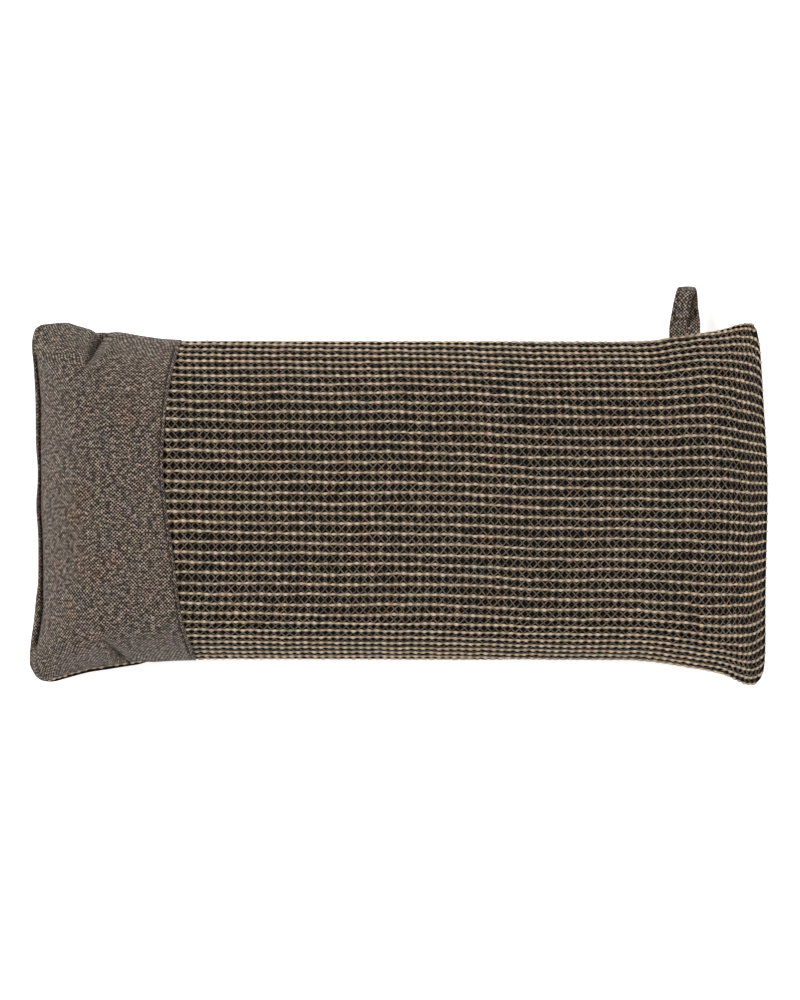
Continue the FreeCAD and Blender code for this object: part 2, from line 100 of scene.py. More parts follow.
LOOP_END = [(112.1, -55.0), (113.3, -52.0), (113.7, -48.5), (113.9, -43.0), (113.9, -31.0), (114.2, -15.0),
            (114.5, -3.0), (114.5, 9.0), (114.0, 19.0), (113.3, 30.0), (112.7, 40.0), (112.1, 47.5),
            (111.1, 52.8)]


def run_lengths(points, axis=0):
    """How far along its line each point is, where the lines of points run along the given axis."""
    steps = np.linalg.norm(np.diff(points, axis=axis), axis=-1)
    return np.concatenate([np.zeros_like(steps.take([0], axis)), np.cumsum(steps, axis=axis)], axis=axis)


def smooth_curve(points, axis, count=600):
    """A smooth curve through the points, sampled evenly along the axis that it runs beside."""
    knots = np.array(points, float) + (MIDDLE, 0)
    knots = np.vstack([2 * knots[0] - knots[1], knots, 2 * knots[-1] - knots[-2]])
    t = np.linspace(0, 1, 40, endpoint=False)[:, None]
    spans = []
    for before, start, stop, after in zip(knots, knots[1:], knots[2:], knots[3:]):
        spans.append(0.5 * (2 * start + (stop - before) * t
                            + (2 * before - 5 * start + 4 * stop - after) * t ** 2
                            + (3 * start - before - 3 * stop + after) * t ** 3))
    line = np.vstack([*spans, knots[-2:-1]])
    even = np.linspace(line[0, axis], line[-1, axis], count)
    return np.column_stack([np.interp(even, line[:, axis], line[:, part]) for part in (0, 1)])


def along(curve, share):
    """The points of a curve at shares from 0 to 1 of it."""
    places = np.linspace(0, 1, len(curve))
    return np.stack([np.interp(share, places, curve[:, axis]) for axis in (0, 1)], axis=-1)


top_curve, bottom_curve = smooth_curve(TOP, 0), smooth_curve(BOTTOM, 0)
closed_curve, loop_curve = smooth_curve(CLOSED_END, 1), smooth_curve(LOOP_END, 1)


def plan(u, v):
    """Where the cloth's place (u, v) lies seen from above: the four sides blended across the middle."""
    su, sv = ((u + 1) / 2)[..., None], ((v + 1) / 2)[..., None]
    across = (1 - sv) * along(bottom_curve, su[..., 0]) + sv * along(top_curve, su[..., 0])
    lengthways = (1 - su) * along(closed_curve, sv[..., 0]) + su * along(loop_curve, sv[..., 0])
    corners = ((1 - su) * (1 - sv) * bottom_curve[0] + su * (1 - sv) * bottom_curve[-1]
               + (1 - su) * sv * top_curve[0] + su * sv * top_curve[-1])
    return across + lengthways - corners


# ---- the pillow's surface

# How far in from the closed end its edge stitching runs, at places across the pillow.
CLOSING_Y = [-47, -40, -33, -26, -12, 0, 9, 18, 31, 41, 47]
CLOSING_IN = [1.9, 2.2, 2.5, 1.9, 1.7, 1.8, 1.0, 1.5, 1.7, 1.2, 1.1]
# The lip outside it stops short of the corners; the groove and the shoulder lie inside it.
LIP_REACH, LIP_FADE = 43.5, 4.5
LIP_HEIGHT, SHOULDER, GROOVE = 1.2, 1.7, 0.8
GROOVE_HALF_WIDTH, SHOULDER_START, SHOULDER_RUN, BACK_LIP_RUN = 0.6, 0.5, 14, 6

# The puckers near the closed end: foot on the seam, head inside, half width and the share of the height lost.
PUCKERS = [
    ((-90.6, 53.2), (-97.2, 39.5), 1.75, 1.12),
    ((-86.8, 53.2), (-94.3, 38.0), 1.30, -0.46),
    ((-83.4, 52.4), (-86.6, 44.0), 1.10, 0.18),
    ((-83.9, -50.8), (-91.8, -41.5), 1.20, 0.95),
    ((-81.2, -50.8), (-88.4, -41.0), 1.20, -0.20),
    ((-88.2, -52.2), (-93.4, -45.0), 1.20, -0.12),
]
PUCKER_LIMITS = (-0.5, 0.96)
# How far the deepest goes down besides, how far in from the seam that starts, and over what distance.
PUCKER_DEPTH, PUCKER_START, PUCKER_RUN = 2.2, 0.8, 3

# Where the seam rolls up and shows the back: middle, half reach, fade and amount.
BOTTOM_ROLL = (-94.0, 12.0, 6.0, 1.1)
CLOSED_ROLL = (-8.0, 16.0, 8.0, 0.6)
# How far in the roll fades, and the bulge of the back's rim there.
ROLL_RUN = {FRONT: 2.5, BACK: 1.2}
RIM_BULGE, RIM_DEPTH = 1.7, 0.8

# The slow waves over settled seed, along and across, and how far in they are whole.
WAVES = [(52, 31), (33, 44), (27, -38), (19, 25), (-17, 21), (13, -15)]
WAVE_HEIGHT, WAVE_RUN = 0.32, 20
# The ripples along a seam, where they start and fade, and how far from a corner they are whole.
GATHERS = (5.3, 7.9, 11.7, 17.3)
GATHER_HEIGHT, GATHER_START, GATHER_FADE, CALM_RUN = 0.16, 1.5, 5.0, 14
# How gently deeper layers keep off the seam's level, and the lowest place over the floor.
SINK_EASE, LOWEST = 0.9, 0.02


def swell(distance, run):
    """The share of the full thickness at a distance from a seam."""
    return 1 - (1 - np.clip(distance / run, 0, 1)) ** SWELL


def fade_out(distance, reach, fade):
    """1 where the distance is under reach, falling smoothly to 0 over fade."""
    t = np.clip((reach + fade - distance) / fade, 0, 1)
    return t * t * (3 - 2 * t)


def pucker(x, y):
    """The share of its height that the cloth loses where it puckers near the closed end."""
    lost = np.zeros_like(x)
    for foot, head, half_width, share in PUCKERS:
        foot = np.array(foot) + (MIDDLE, 0)
        run = np.array(head) + (MIDDLE, 0) - foot
        length = np.linalg.norm(run)
        direction = run / length
        ahead = (x - foot[0]) * direction[0] + (y - foot[1]) * direction[1]
        aside = (x - foot[0]) * direction[1] - (y - foot[1]) * direction[0]
        reach = np.clip(1 - ahead / length, 0, 1.15) * np.clip(1 + ahead / 2.0, 0, 1)
        spread = half_width * (0.5 + np.clip(reach, 0, 1))
        lost += share * reach ** 1.1 * np.exp(-np.abs(aside / spread) ** 1.4)
    return np.clip(lost, *PUCKER_LIMITS)


def unevenness(x, y, side):
    """The slow rise and fall of cloth over settled seed."""
    phases = np.random.default_rng(5 + side).uniform(0, tau, (len(WAVES), 2))
    total = np.zeros_like(x)
    for (wave_x, wave_y), (first, second) in zip(WAVES, phases):
        bump = np.sin(tau * x / wave_x + first) * np.sin(tau * y / wave_y + second)
        total += bump * abs(wave_x) / WAVES[0][0]
    return WAVE_HEIGHT * total


def gathers(place, distance, seed):
    """The small ripples that the stitching draws up along a seam."""
    phases = np.random.default_rng(seed).uniform(0, tau, len(GATHERS))
    total = np.zeros_like(place)
    for length, phase in zip(GATHERS, phases):
        total += np.sin(tau * place / length + phase)
    return GATHER_HEIGHT * total * np.exp(-distance / GATHER_FADE) * np.clip(distance / GATHER_START, 0, 1)


def closing_edge(side, from_closed, closing):
    """The height of the closed end's lip and, on the front, of its groove and shoulder."""
    inside = np.maximum(from_closed - closing, 0)
    if side == BACK:
        rounded = np.sqrt(1 - (1 - np.clip(from_closed / closing, 0, 1)) ** 2)
        return LIP_HEIGHT * rounded * np.exp(-inside / BACK_LIP_RUN)
    lip = LIP_HEIGHT * np.sqrt(np.clip(1 - (2 * from_closed / closing - 1) ** 2, 0, 1))
    shoulder = SHOULDER * (1 - np.exp(-inside / SHOULDER_START)) * np.exp(-inside / SHOULDER_RUN)
    return lip + shoulder - GROOVE * np.exp(-((from_closed - closing) / GROOVE_HALF_WIDTH) ** 2)


def surface(side, u, v, sink=0.0):
    """The outside of the cover at (u, v), or what lies sink below it without leaving its own side."""
    u, v = np.broadcast_arrays(u, v)
    x, y = np.moveaxis(plan(u, v), -1, 0)
    half_width = (plan(u, np.ones_like(v)) - plan(u, -np.ones_like(v)))[..., 1] / 2
    from_closed, from_loop_end = (1 + u) / 2 * LENGTH, (1 - u) / 2 * LENGTH
    from_top, from_bottom = (1 - v) * half_width, (1 + v) * half_width
    from_end, from_side = np.minimum(from_closed, from_loop_end), np.minimum(from_top, from_bottom)
    calm = np.clip(np.hypot(from_end, from_side) / CALM_RUN, 0, 1) ** 2

    lip = fade_out(np.abs(y), LIP_REACH, LIP_FADE)
    closing = np.interp(y, CLOSING_Y, CLOSING_IN)
    inside = from_closed - lip * closing
    top_run, bottom_run, end_run = RUNS[side]
    rise = swell(inside, end_run) * swell(from_loop_end, end_run)
    rise = rise * swell(from_top, top_run) * swell(from_bottom, bottom_run)
    crowning = 1 - CROWNING + CROWNING * np.cos(u * pi / 2) if side == FRONT else 1.0
    height = FULL[side] * crowning * np.where(inside < 0, 0.0, rise)
    height = height + lip * closing_edge(side, from_closed, closing)
    drawn_up = (gathers(x, from_side, 31 + side) + gathers(y, from_loop_end, 41 + side)
                + gathers(y, np.maximum(inside, 0), 51 + side))
    height = height + calm * drawn_up
    height = height + unevenness(x, y, side) * np.clip(np.minimum(from_end, from_side) / WAVE_RUN, 0, 1)
    if side == FRONT:
        drawn_in = pucker(x, y)
        inward = np.clip((from_side - PUCKER_START) / PUCKER_RUN, 0, 1)
        height = height * (1 - drawn_in) - PUCKER_DEPTH * np.clip(drawn_in, 0, 1) * inward
    height = height - np.minimum(sink, np.clip(height, 0, None) * sink / (sink + SINK_EASE))

    middle, reach, fade, amount = BOTTOM_ROLL
    rolled = fade_out(np.abs(x - MIDDLE - middle), reach, fade)
    bottom_roll = amount * rolled * np.exp(-from_bottom / ROLL_RUN[side])
    rim = RIM_BULGE * rolled * from_bottom / RIM_DEPTH * np.exp(1 - from_bottom / RIM_DEPTH) * (side == BACK)
    middle, reach, fade, amount = CLOSED_ROLL
    closed_roll = amount * fade_out(np.abs(y - middle), reach, fade) * np.exp(-from_closed / ROLL_RUN[side])
    z = SEAM + side * height + bottom_roll + closed_roll
    return np.stack([x + closed_roll, y + bottom_roll - rim, np.maximum(z, LOWEST)], axis=-1)


def unit(vectors):
    return vectors / np.linalg.norm(vectors, axis=-1, keepdims=True)


def lifted(side, u, v, height=0.0):
    """Points that stand height off the cover's outside, and the outward normals there."""
    u, v, height = np.broadcast_arrays(u, v, height)
    step_u, step_v = 0.003, 0.006
    ahead = surface(side, u + step_u, v) - surface(side, u - step_u, v)
    aside = surface(side, u, v + step_v) - surface(side, u, v - step_v)
    normals = unit(np.cross(ahead, aside) * side)
    return surface(side, u, v) + normals * height[..., None], normals


class Cloth:
    """One side of the cover with its places spread evenly over the cloth.

    a runs along the pillow and b across it, in millimetres measured on the cloth from its middle.
    """

    def __init__(self, side, along_count=281, across_count=181):
        self.side = side
        u = np.linspace(-1, 1, along_count)
        v = np.linspace(-1, 1, across_count)
        self.u, self.half_length = self.even(surface(side, u, 0.0), u)
        self.v = np.empty((along_count, across_count))
        halves = np.empty(along_count)
        for index, place in enumerate(self.u):
            self.v[index], halves[index] = self.even(surface(side, place, v), v)
        self.half_width = float(np.median(halves))

    @staticmethod
    def even(line, places):
        """The places that divide a line of points evenly, and half of its length."""
        reached = run_lengths(line)
        return np.interp(np.linspace(0, reached[-1], len(places)), reached, places), reached[-1] / 2

    def places(self, a, b):
        """The (u, v) of cloth places (a, b)."""
        a, b = np.broadcast_arrays(a, b)
        rows, columns = self.v.shape
        i = np.clip((a / self.half_length + 1) / 2 * (rows - 1), 0, rows - 1.001)
        j = np.clip((b / self.half_width + 1) / 2 * (columns - 1), 0, columns - 1.001)
        i0, j0 = i.astype(int), j.astype(int)
        fi, fj = i - i0, j - j0
        u = self.u[i0] * (1 - fi) + self.u[i0 + 1] * fi
        v = ((self.v[i0, j0] * (1 - fi) + self.v[i0 + 1, j0] * fi) * (1 - fj)
             + (self.v[i0, j0 + 1] * (1 - fi) + self.v[i0 + 1, j0 + 1] * fi) * fj)
        return u, v

    def lifted(self, a, b, height=0.0):
        """Points that stand height off the cloth at (a, b), and the outward normals there."""
        return lifted(self.side, *self.places(a, b), height)


front = Cloth(FRONT)
back = Cloth(BACK)

# ---- the join between band and waffle

# The band's folded edge, from the bottom seam to the top one.
JOIN = [(-62.9, -50.0), (-64.9, -43.0), (-66.6, -36.5), (-67.7, -29.0), (-69.3, -16.0), (-71.2, -3.0),
        (-72.3, 8.0), (-72.2, 18.5), (-70.4, 36.5), (-67.4, 51.0)]
join_curve = smooth_curve(JOIN, 1)


def join_x(y):
    """Where the band's folded edge stands at y."""
    return np.interp(y, join_curve[:, 1], join_curve[:, 0])


def join_places(outside, closed_end, across):
    """Where the join lies along the pillow, for places across it; outside() gives points."""
    places = np.linspace(closed_end, 0, 500)
    lines = (outside(places, place) for place in across)
    return np.array([np.interp(0.0, line[:, 0] - join_x(line[:, 1]), places) for line in lines])


def join_u(v):
    """The u of the join at each v."""
    return join_places(lambda *place: surface(FRONT, *place), -1, v)


def join_a(b):
    """The cloth place a of the join at each b."""
    return join_places(lambda *place: front.lifted(*place)[0], -front.half_length, b)


# ---- making meshes

def new_object(name, data):
    """An object in the scene that shows the data."""
    made = bpy.data.objects.new(name, data)
    bpy.context.scene.collection.objects.link(made)
    return made


def put(name, points, faces, material, slot, uv=None, tone=None):
    """A smooth mesh object with a tone for each point; uv is in millimetres on the cloth, and repeats."""
    mesh = bpy.data.meshes.new(name)
    mesh.from_pydata(np.asarray(points, float) * MM, [], np.asarray(faces))
    if uv is not None:
        corners = np.empty(len(mesh.loops), np.int32)
        mesh.loops.foreach_get("vertex_index", corners)
        layer = mesh.uv_layers.new(name="cloth")
        uv = np.resize(np.asarray(uv, np.float32), (len(mesh.vertices), 2))
        layer.uv.foreach_set("vector", (uv[corners] * MM).ravel())
    if tone is not None:
        attribute = mesh.attributes.new("tone", "FLOAT", "POINT")
        attribute.data.foreach_set("value", np.asarray(tone, np.float32))
    mesh.polygons.foreach_set("use_smooth", np.ones(len(mesh.polygons), bool))
    mesh.materials.append(material)
    mesh.update()
    piece = new_object(name, mesh)
    return piece


def stand_in(piece, body, *nodes):
    """The piece moves with a body and is shown instead of the given CAD nodes."""
    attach(piece, body)
    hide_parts(*nodes)


def closed_sheet(outer, inner):
    """Points and faces of a thin closed sheet between two grids of points."""
    rows, columns = outer.shape[:2]
    count = rows * columns
    index = np.arange(count).reshape(rows, columns)
    quads = np.stack([index[:-1, :-1], index[1:, :-1], index[1:, 1:], index[:-1, 1:]], axis=-1).reshape(-1, 4)
    rim = np.concatenate([index[:, 0], index[-1, 1:], index[-2::-1, -1], index[0, -2:0:-1]])
    sides = np.stack([rim, rim + count, np.roll(rim, -1) + count, np.roll(rim, -1)], axis=-1)
    points = np.vstack([outer.reshape(-1, 3), inner.reshape(-1, 3)])
    return points, np.vstack([quads, quads[:, ::-1] + count, sides])


class Pile:
    """Many small closed tubes gathered into one mesh."""

    def __init__(self):
        self.points, self.faces, self.tones, self.count = [], [], [], 0

    def add_tube(self, centres, normals, half_width, half_height, tone, sides):
        """A tube of oval section along a line of centres; its width lies across the normals."""
        stations = len(centres)
        tangents = unit(np.gradient(centres, axis=0))
        aside = unit(np.cross(normals, tangents))
        up = np.cross(tangents, aside)
        angle = np.arange(sides) * tau / sides
        wide = np.broadcast_to(half_width, stations)[:, None] * np.cos(angle)
        tall = np.broadcast_to(half_height, stations)[:, None] * np.sin(angle)
        ring = centres[:, None] + aside[:, None] * wide[..., None] + up[:, None] * tall[..., None]
        index = np.arange(stations * sides).reshape(stations, sides) + self.count
        following = np.roll(index, -1, axis=1)
        walls = np.stack([index[:-1], following[:-1], following[1:], index[1:]], axis=-1).reshape(-1, 4)
        caps = [[end[0], end[turn], end[turn + 1], end[turn + 2]]
                for end in (index[0, ::-1], index[-1]) for turn in range(1, sides - 2, 2)]
        self.points.append(ring.reshape(-1, 3))
        self.faces += [walls, np.array(caps)]
        self.tones.append(np.repeat(np.broadcast_to(tone, stations), sides))
        self.count += stations * sides

    def put(self, name, material, slot):
        return put(name, np.vstack(self.points), np.vstack(self.faces), material, slot,
                   tone=np.concatenate(self.tones))


# ---- materials

BLACK, WHITE = (0.0, 0.0, 0.0), (1.0, 1.0, 1.0)
# The sizes of fibres and slubs.
FIBRE, SLUB = 0.30, 3.0
# How far plain weave's threads wander, over what length, and how long they stay light.
WANDER, WANDER_LENGTH, STRETCH = 1.2, 6, 0.8


def new_material(name):
    """A material, its node tree, its principled shader and the place on the object."""
    material = bpy.data.materials.new(name)
    material.use_nodes = True
    tree = material.node_tree
    shader = next(item for item in tree.nodes if item.type == "BSDF_PRINCIPLED")
    return material, tree, shader, add(tree, "ShaderNodeTexCoord", {}).outputs["Object"]


def add(tree, kind, inputs, **settings):
    """A node with its settings; each input is a number, a vector or another node's output."""
    made = tree.nodes.new(kind)
    for key, setting in settings.items():
        setattr(made, key, setting)
    for key, given in inputs.items():
        if isinstance(given, bpy.types.NodeSocket):
            tree.links.new(given, made.inputs[key])
        else:
            made.inputs[key].default_value = given
    return made


def maths(tree, operation, first, second=0.0, third=0.0):
    return add(tree, "ShaderNodeMath", {0: first, 1: second, 2: third}, operation=operation).outputs[0]


def vector_maths(tree, operation, first, second):
    return add(tree, "ShaderNodeVectorMath", {0: first, 1: second}, operation=operation).outputs[0]


def ramp(tree, factor, stops):
    """A colour ramp through the given (position, colour) stops."""
    made = add(tree, "ShaderNodeValToRGB", {0: factor})
    elements = made.color_ramp.elements
    while len(elements) < len(stops):
        elements.new(0.5)
    for element, (position, colour) in zip(elements, stops):
        element.position = position
        element.color = (*colour, 1)
    return made.outputs[0]


def mix(tree, factor, first, second, blend="MIX"):
    """Two colours mixed."""
    inputs = {0: factor, 6: first, 7: second}
    for key in (6, 7):
        if isinstance(inputs[key], tuple):
            inputs[key] = (*inputs[key], 1)
    return add(tree, "ShaderNodeMix", inputs, data_type="RGBA", blend_type=blend).outputs[2]


def noise(tree, place, size, detail=2.0, roughness=0.5):
    """Noise whose lumps are about size millimetres across."""
    return add(tree, "ShaderNodeTexNoise", {"Vector": place, "Scale": 1 / (size * MM), "Detail": detail,
                                            "Roughness": roughness}).outputs[0]


def drifting(tree, place, colour, amount):
    """The colour with the slow drift to red, olive and violet that mixed yarn shows."""
    warm = ramp(tree, noise(tree, place, 8.0, 3.0, 0.6),
                [(0.30, (0.80, 0.97, 1.10)), (0.46, WHITE), (0.56, WHITE), (0.72, (1.20, 0.93, 0.84))])
    green = ramp(tree, noise(tree, place, 5.0, 2.0, 0.5),
                 [(0.32, (1.06, 0.92, 1.10)), (0.45, WHITE), (0.58, WHITE), (0.72, (0.92, 1.05, 0.86))])
    drifted = mix(tree, 1.0, mix(tree, 1.0, colour, warm, "MULTIPLY"), green, "MULTIPLY")
    return mix(tree, amount, colour, drifted)


def finish_shader(tree, shader, place, colour, drift, roughness, height, relief=0.1, sheen=0.0):
    """Joins the drifting colour, the roughness and a relief in millimetres to the shader."""
    bump = add(tree, "ShaderNodeBump", {"Height": height, "Distance": relief * MM, "Strength": 1.0})
    tree.links.new(drifting(tree, place, colour, drift), shader.inputs["Base Color"])
    tree.links.new(roughness, shader.inputs["Roughness"])
    tree.links.new(bump.outputs[0], shader.inputs["Normal"])
    shader.inputs["Specular IOR Level"].default_value = 0.2
    shader.inputs["Sheen Weight"].default_value = sheen
    shader.inputs["Sheen Roughness"].default_value = 0.5


def yarn_material(name, dark, light, ply, drift):
    """Spun yarn: fibrous, with slubs and a twist; tone says how light each part of it is."""
    material, tree, shader, place = new_material(name)
    fibre = noise(tree, place, FIBRE, 4.0, 0.7)
    slub = noise(tree, place, SLUB, 2.0, 0.5)
    tone = add(tree, "ShaderNodeAttribute", {}, attribute_name="tone").outputs["Fac"]
    mottle = maths(tree, "MULTIPLY_ADD", fibre, 0.8, maths(tree, "MULTIPLY_ADD", slub, 0.8, -0.8))
    colour = ramp(tree, maths(tree, "ADD", tone, mottle), [(0.0, dark), (1.0, light)])
    twist = add(tree, "ShaderNodeTexWave", {"Vector": place, "Scale": 0.16 / (ply * MM), "Distortion": 2.0,
                                            "Detail": 2.0}, bands_direction="DIAGONAL").outputs[0]
    height = maths(tree, "MULTIPLY_ADD", twist, 0.5, fibre)
    roughness = maths(tree, "MULTIPLY_ADD", fibre, 0.2, 0.75)
    finish_shader(tree, shader, place, colour, drift, roughness, height, sheen=0.1)
    return material


def weave_material(name, warp, weft, pitch, drift, fleck):
    """Plain weave on the cloth's own coordinates: warp and weft over each other by turns."""
    material, tree, shader, place = new_material(name)
    uv = add(tree, "ShaderNodeUVMap", {}, uv_map="cloth").outputs[0]
    cloudy = add(tree, "ShaderNodeTexNoise", {"Vector": uv, "Scale": 1 / (WANDER_LENGTH * MM), "Detail": 3.0})
    wobble = vector_maths(tree, "SUBTRACT", cloudy.outputs[1], (0.5, 0.5, 0.5))
    wobble = vector_maths(tree, "MULTIPLY", wobble, (WANDER * MM, WANDER * MM, 0))
    moved = vector_maths(tree, "ADD", uv, wobble)
    split = add(tree, "ShaderNodeSeparateXYZ", {0: moved})
    turn = pi / (pitch * MM)
    waves = [maths(tree, "SINE", maths(tree, "MULTIPLY", split.outputs[axis], turn)) for axis in (0, 1)]
    checks = maths(tree, "MULTIPLY", *waves)
    weft_on_top = add(tree, "ShaderNodeClamp", {0: maths(tree, "MULTIPLY_ADD", checks, 5.0, 0.5)}).outputs[0]
    weft_tone = noise(tree, vector_maths(tree, "MULTIPLY", uv, (0.5, 1.0, 1.0)), STRETCH, 2.0, 0.6)
    warp_tone = noise(tree, vector_maths(tree, "MULTIPLY", uv, (1.0, 0.5, 1.0)), STRETCH, 2.0, 0.6)
    colours = []
    for thread, tone in ((warp, warp_tone), (weft, weft_tone)):
        dark, light = (tuple(scale * part for part in thread) for scale in (0.25, 2.1))
        colours.append(ramp(tree, tone, [(0.40, dark), (0.51, thread), (0.62, light)]))
    colour = mix(tree, weft_on_top, *colours)
    flecks = ramp(tree, noise(tree, place, 1.0, 1.0, 0.4), [(0.68, BLACK), (0.74, WHITE)])
    bright = tuple(min(1.0, 2.0 * part) for part in weft)
    colour = mix(tree, maths(tree, "MULTIPLY", flecks, fleck), colour, bright)
    height = maths(tree, "MULTIPLY_ADD", noise(tree, place, FIBRE), 0.5, maths(tree, "ABSOLUTE", checks))
    roughness = maths(tree, "MULTIPLY_ADD", weft_tone, 0.15, 0.78)
    finish_shader(tree, shader, place, colour, drift, roughness, height, sheen=0.1)
    return material


def mottled_material(name, dark, light, size, relief, roughness=0.85):
    """A mottled matt surface."""
    material, tree, shader, place = new_material(name)
    mottle = noise(tree, place, size, 4.0, 0.65)
    colour = ramp(tree, mottle, [(0.3, dark), (0.7, light)])
    rough = maths(tree, "MULTIPLY_ADD", mottle, 0.12, roughness - 0.06)
    finish_shader(tree, shader, place, colour, 0.7, rough, mottle, relief)
    return material


WEFT = yarn_material("waffle_weft_yarn", (0.070, 0.045, 0.026), (0.60, 0.475, 0.345), 0.55, 0.25)
GROUND_THREAD = yarn_material("waffle_ground_thread", (0.006, 0.004, 0.0022), (0.265, 0.197, 0.133), 0.3, 0.7)
GROUND = mottled_material("waffle_ground_cloth", (0.001, 0.0007, 0.0004), (0.008, 0.005, 0.003), 0.5, 0.2)
CHAMBRAY = weave_material("chambray", (0.003, 0.0022, 0.0016), (0.225, 0.176, 0.138), 0.54, 0.6, 0.8)
THREAD = yarn_material("sewing_thread", (0.006, 0.005, 0.004), (0.045, 0.036, 0.03), 0.25, 0.3)
LINING = weave_material("lining_cotton", (0.50, 0.45, 0.37), (0.66, 0.61, 0.52), 0.5, 0.2, 0.1)
LINING_THREAD = yarn_material("lining_thread", (0.45, 0.41, 0.34), (0.80, 0.76, 0.68), 0.25, 0.1)

# ---- the waffle cloth

ROW_PITCH, CELL_PITCH = 3.12, 2.42
ROWS = np.arange(-20, 21)
# Heights over the cloth's outside, and the steps between the threads' ways and strands.
WEFT_LEVEL, KNOT_LEVEL, CROSSING_LEVEL, GROUND_LEVEL, INNER_LEVEL = -0.45, -0.62, -0.90, -1.55, -2.2
WAY_STEP, STRAND_STEP = 0.13, 0.05
# A row's yarn where it is bound, what it gains within a cell, and how uneven the cells are.
# The tones paint shade where the yarn is pinched down, and paint light on each cell's top, more on raised
# cells.
BOUND_HALF, BOUND_SHADED_TONE = 0.21, 0.42
CELL_WIDTH, CELL_HEIGHT, CELL_LIT_TONE = 0.30, 0.18, 0.46
SIDEWAYS, RAISED, WIDER, RAISED_HIGHLIGHT = 0.17, 0.06, 0.11, 0.18
# A ground thread's two strands, as side, radius and tone: the second is often too dark to see.
STRANDS = ((-1, 0.17, 0.68), (1, 0.13, 0.48))
STRAND_ASIDE, UNEVEN_KNOTS, UNEVEN_TONES = 0.19, 0.24, 0.34
# How far from the tips and the seams the yarns stop, and how far past that a row may belong.
CLOSED_TIP, LOOP_TIP, EDGE_GAP, TURNED_REACH = 5.0, 2.5, 0.3, 2.12
# How far ground and yarns reach under the band, and how far the ground stays off the seams.
LAP, YARN_LAP, GROUND_INSET = 3.0, 0.8, 0.45
# How far aside the rows lie, because the cloth was sewn a little askew.
ROW_SHIFT_A, ROW_SHIFT_B = [-75, -40, 5, 20, 40, 55, 95, 112], [0.8, 0.1, 0.0, -0.3, -1.3, -1.6, -1.7, -2.6]


def row_b(a, row):
    """The cloth place b of a row at each a."""
    wander = 0.12 * np.sin(a / 11.0 + 1.7 * row) + 0.10 * np.sin(a / 23.0 + 0.6 * row)
    return row * ROW_PITCH + wander + np.interp(a, ROW_SHIFT_A, ROW_SHIFT_B)


def clear_of_tips(cloth, a, b):
    """Where yarn lies clear of the corners' tips."""
    from_tip = cloth.half_length - np.abs(a) + cloth.half_width - np.abs(b)
    return from_tip > np.where(a < 0, CLOSED_TIP, LOOP_TIP)


def kept_runs(inside):
    """The unbroken runs of places where inside is true."""
    places = np.flatnonzero(inside)
    return [run for run in np.split(places, np.flatnonzero(np.diff(places) > 1) + 1) if len(run) > 2]


def add_weft_row(pile, cloth, row, start, stations, sides, seed):
    """The beige yarn of one row: full over each cell and pinched where the ground threads bind it.

    A row that would run off the cloth is turned along the seam instead.
    """
    first = math.ceil(start / CELL_PITCH * stations)
    last = math.floor((cloth.half_length - 0.15) / CELL_PITCH * stations)
    place = np.arange(first, last + 1)
    a = place * CELL_PITCH / stations
    cell = place // stations + 60
    lift = (0.5 - 0.5 * np.cos(tau * (place % stations) / stations)) ** 1.25
    shift, raised, fuller = np.random.default_rng([seed, int(row) + 100]).uniform(-1, 1, (3, 120))[:, cell]
    lean = np.sin(tau * (place % stations) / stations) * fuller
    edge = cloth.half_width - EDGE_GAP
    wanted = row_b(a, row)
    b = np.clip(wanted, -edge, edge) + (SIDEWAYS * shift - 0.06) * lift + 0.06 * lean
    height = WEFT_LEVEL - 0.04 * (1 - lift) + RAISED * raised * lift
    centres, normals = cloth.lifted(a, b, height)
    half_width = BOUND_HALF + (CELL_WIDTH + WIDER * fuller) * lift + 0.05 * lean
    half_height = BOUND_HALF + CELL_HEIGHT * lift
    # Painted shade and painted light: the yarn is darker where it is pinched, and lighter over each cell's
    # top and on raised cells.
    tone = BOUND_SHADED_TONE + (CELL_LIT_TONE + RAISED_HIGHLIGHT * raised) * lift
    for run in kept_runs((np.abs(wanted) < edge + TURNED_REACH) & clear_of_tips(cloth, a, b)):
        pile.add_tube(centres[run], normals[run], half_width[run], half_height[run], tone[run], sides)


def add_ground_thread(pile, cloth, knots_a, kept, dip_level, radius, tones, steps, sides):
    """One thin thread that passes under the rows and dips between them to meet its neighbours."""
    row = np.linspace(ROWS[0], ROWS[-1], (len(ROWS) - 1) * steps + 1)
    a, tone = np.interp(row, ROWS, knots_a), np.interp(row, ROWS, tones)
    dip = np.abs(np.sin(row * pi)) ** 0.7
    b = row_b(a, row)
    height = KNOT_LEVEL + (dip_level - KNOT_LEVEL) * dip
    centres, normals = cloth.lifted(a, b, height)
    within = (np.abs(b) < cloth.half_width - 0.2) & clear_of_tips(cloth, a, b)
    for run in kept_runs((a > np.interp(b, *kept)) & within):
        # Painted shade: the tone is darker where the thread dips down between the rows.
        pile.add_tube(centres[run], normals[run], radius, radius, tone[run] - 0.2 * dip[run], sides)


